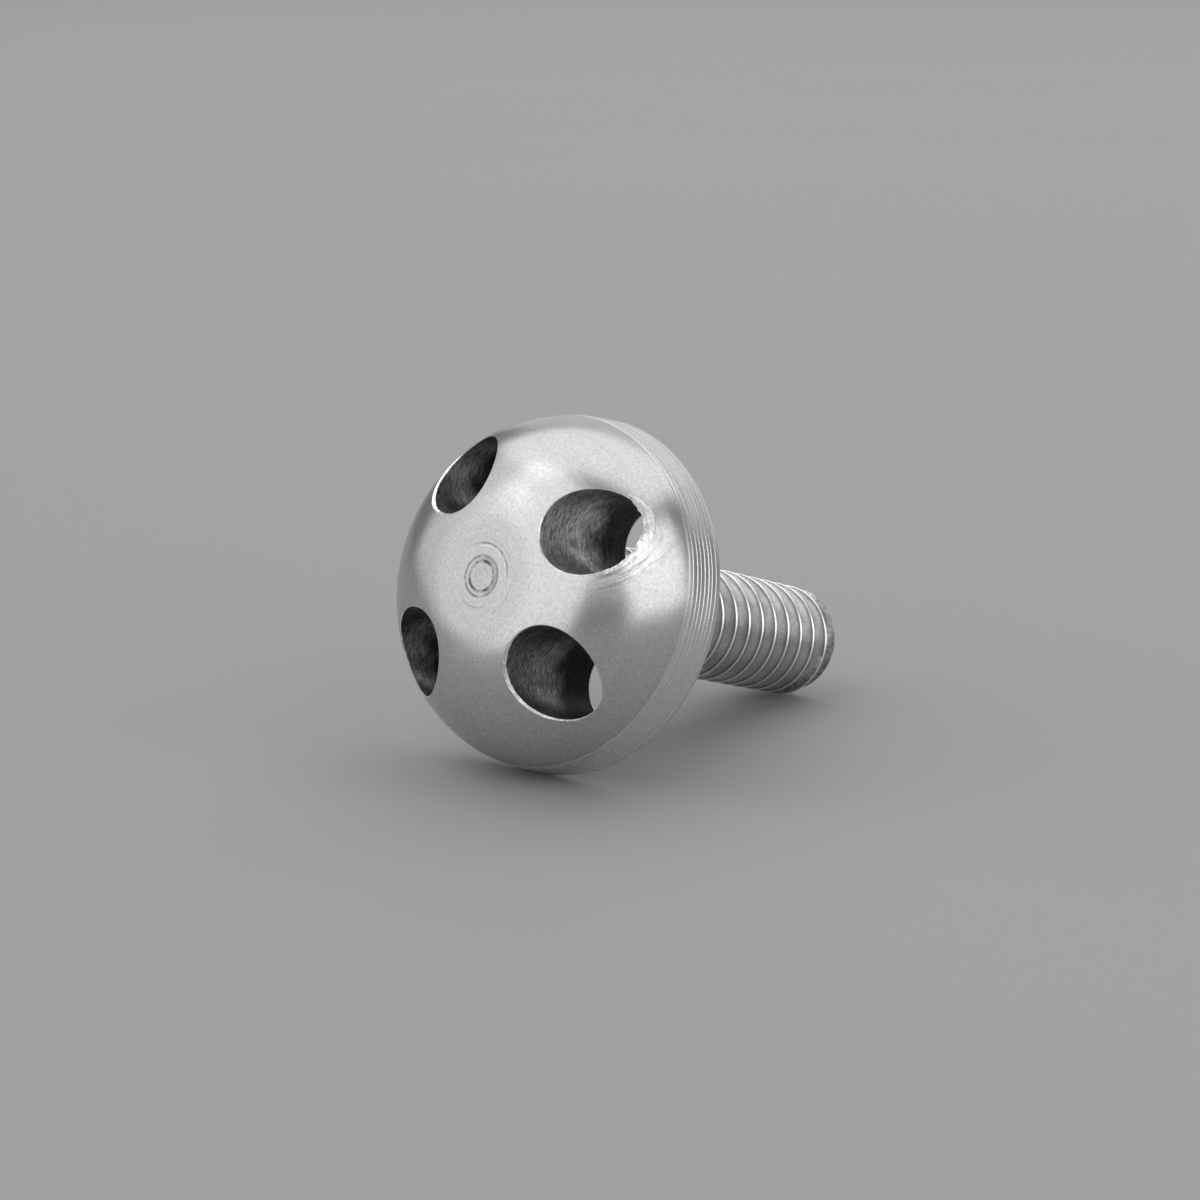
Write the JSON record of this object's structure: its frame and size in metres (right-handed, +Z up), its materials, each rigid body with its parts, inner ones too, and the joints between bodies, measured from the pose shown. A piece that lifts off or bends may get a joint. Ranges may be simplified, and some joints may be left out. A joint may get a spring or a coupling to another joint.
{
  "type": "security bolt",
  "caption": "Turned steel security bolt with a domed head, unevenly spaced through drive holes for a pin key, and a short threaded shank.",
  "frame": {"origin": "under the middle of the lying bolt's box, on the surface it lies on", "axes": "+X from the head towards the tip along the lying bolt, +Z up; the bolt's own axis dips 17.45 degrees below +X"},
  "size_m": [0.029, 0.019, 0.0187],
  "materials": {
    "turned_steel": "bare turned steel, satin, with fine turning marks"
  },
  "bodies": {
    "root": {"security_bolt": "turned_steel"}
  },
  "joints": []
}
